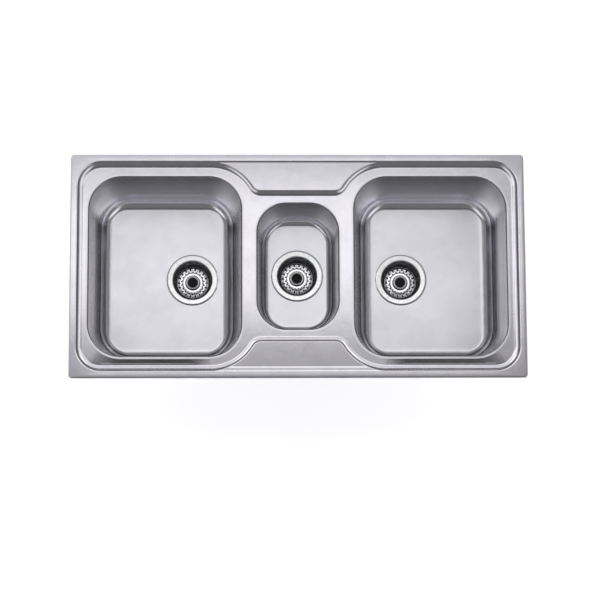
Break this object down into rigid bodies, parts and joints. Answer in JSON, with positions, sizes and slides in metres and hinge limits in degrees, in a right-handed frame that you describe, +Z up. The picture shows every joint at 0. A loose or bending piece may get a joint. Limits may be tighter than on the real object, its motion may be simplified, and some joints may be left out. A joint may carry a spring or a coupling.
{
  "type": "inset kitchen sink",
  "caption": "Long rectangular inset sink of pressed steel: large outer bowls beside a small centre bowl, each with a lift-out basket strainer, plus rim seal and worktop clamps.",
  "frame": {"origin": "middle of the sink outline, at the level of the worktop surface that the rim seal rests on", "axes": "+X along the sink to the right, +Y to the back, +Z up out of the bowls"},
  "size_m": [1, 0.5, 0.268],
  "materials": {
    "sink_steel": "satin stainless steel, linen-smooth in the bowls",
    "polished_steel": "polished stainless steel",
    "plated_steel": "dull zinc plate",
    "white_plastic": "moulded polypropylene",
    "rubber": "matt black rubber",
    "foam": "dark closed-cell foam strip",
    "pad": "grey bitumen sound pad"
  },
  "bodies": {
    "sink": {"deck": "sink_steel", "left_bowl": "sink_steel", "centre_bowl": "sink_steel", "right_bowl": "sink_steel", "rim_seal": "foam", "rail_front": "plated_steel", "rail_back": "plated_steel", "rail_left": "plated_steel", "rail_right": "plated_steel", "left_sound_pad": "pad", "centre_sound_pad": "pad", "right_sound_pad": "pad", "left_strainer_body": "polished_steel", "left_flange_gasket": "rubber", "left_under_gasket": "rubber", "left_waste_housing": "white_plastic", "left_waste_screw": "polished_steel", "centre_strainer_body": "polished_steel", "centre_flange_gasket": "rubber", "centre_under_gasket": "rubber", "centre_waste_housing": "white_plastic", "centre_waste_screw": "polished_steel", "right_strainer_body": "polished_steel", "right_flange_gasket": "rubber", "right_under_gasket": "rubber", "right_waste_housing": "white_plastic", "right_waste_screw": "polished_steel", "bracket_front_left": "plated_steel", "bracket_front_right": "plated_steel", "bracket_back_left": "plated_steel", "bracket_back_right": "plated_steel", "bracket_left": "plated_steel", "bracket_right": "plated_steel"},
    "left_basket": {"left_basket": "polished_steel", "left_basket_knob": "polished_steel", "left_basket_stopper": "rubber", "left_basket_stem": "polished_steel"},
    "centre_basket": {"centre_basket": "polished_steel", "centre_basket_knob": "polished_steel", "centre_basket_stopper": "rubber", "centre_basket_stem": "polished_steel"},
    "right_basket": {"right_basket": "polished_steel", "right_basket_knob": "polished_steel", "right_basket_stopper": "rubber", "right_basket_stem": "polished_steel"},
    "claw_front_left": {"claw_front_left": "plated_steel"},
    "screw_front_left": {"screw_front_left": "plated_steel"},
    "claw_front_right": {"claw_front_right": "plated_steel"},
    "screw_front_right": {"screw_front_right": "plated_steel"},
    "claw_back_left": {"claw_back_left": "plated_steel"},
    "screw_back_left": {"screw_back_left": "plated_steel"},
    "claw_back_right": {"claw_back_right": "plated_steel"},
    "screw_back_right": {"screw_back_right": "plated_steel"},
    "claw_left": {"claw_left": "plated_steel"},
    "screw_left": {"screw_left": "plated_steel"},
    "claw_right": {"claw_right": "plated_steel"},
    "screw_right": {"screw_right": "plated_steel"}
  },
  "joints": [
    {"name": "left_basket_lift", "type": "slide", "parent": "sink", "child": "left_basket", "axis": [0, 0, 1], "range_m": [0, 0.23]},
    {"name": "centre_basket_lift", "type": "slide", "parent": "sink", "child": "centre_basket", "axis": [0, 0, 1], "range_m": [0, 0.18]},
    {"name": "right_basket_lift", "type": "slide", "parent": "sink", "child": "right_basket", "axis": [0, 0, 1], "range_m": [0, 0.23]},
    {"name": "claw_front_left_slide", "type": "slide", "parent": "sink", "child": "claw_front_left", "axis": [0, 0, 1], "range_m": [-0.014, 0.009]},
    {"name": "claw_front_right_slide", "type": "slide", "parent": "sink", "child": "claw_front_right", "axis": [0, 0, 1], "range_m": [-0.014, 0.009]},
    {"name": "claw_back_left_slide", "type": "slide", "parent": "sink", "child": "claw_back_left", "axis": [0, 0, 1], "range_m": [-0.014, 0.009]},
    {"name": "claw_back_right_slide", "type": "slide", "parent": "sink", "child": "claw_back_right", "axis": [0, 0, 1], "range_m": [-0.014, 0.009]},
    {"name": "claw_left_slide", "type": "slide", "parent": "sink", "child": "claw_left", "axis": [0, 0, 1], "range_m": [-0.014, 0.009]},
    {"name": "claw_right_slide", "type": "slide", "parent": "sink", "child": "claw_right", "axis": [0, 0, 1], "range_m": [-0.014, 0.009]},
    {"name": "screw_front_left_turn", "type": "hinge", "parent": "claw_front_left", "child": "screw_front_left", "pos_m": [-0.26, -0.23, -0.042], "axis": [0, 0, 1], "range_deg": [-6400, 4150]},
    {"name": "screw_front_right_turn", "type": "hinge", "parent": "claw_front_right", "child": "screw_front_right", "pos_m": [0.26, -0.23, -0.042], "axis": [0, 0, 1], "range_deg": [-6400, 4150]},
    {"name": "screw_back_left_turn", "type": "hinge", "parent": "claw_back_left", "child": "screw_back_left", "pos_m": [-0.26, 0.23, -0.042], "axis": [0, 0, 1], "range_deg": [-6400, 4150]},
    {"name": "screw_back_right_turn", "type": "hinge", "parent": "claw_back_right", "child": "screw_back_right", "pos_m": [0.26, 0.23, -0.042], "axis": [0, 0, 1], "range_deg": [-6400, 4150]},
    {"name": "screw_left_turn", "type": "hinge", "parent": "claw_left", "child": "screw_left", "pos_m": [-0.482, 0, -0.042], "axis": [0, 0, 1], "range_deg": [-6400, 4150]},
    {"name": "screw_right_turn", "type": "hinge", "parent": "claw_right", "child": "screw_right", "pos_m": [0.482, 0, -0.042], "axis": [0, 0, 1], "range_deg": [-6400, 4150]}
  ],
  "couplings": [
    {"joint": "screw_front_left_turn", "follows": "claw_front_left_slide", "rad_per_m": 7854},
    {"joint": "screw_front_right_turn", "follows": "claw_front_right_slide", "rad_per_m": 7854},
    {"joint": "screw_back_left_turn", "follows": "claw_back_left_slide", "rad_per_m": 7854},
    {"joint": "screw_back_right_turn", "follows": "claw_back_right_slide", "rad_per_m": 7854},
    {"joint": "screw_left_turn", "follows": "claw_left_slide", "rad_per_m": 7854},
    {"joint": "screw_right_turn", "follows": "claw_right_slide", "rad_per_m": 7854}
  ]
}
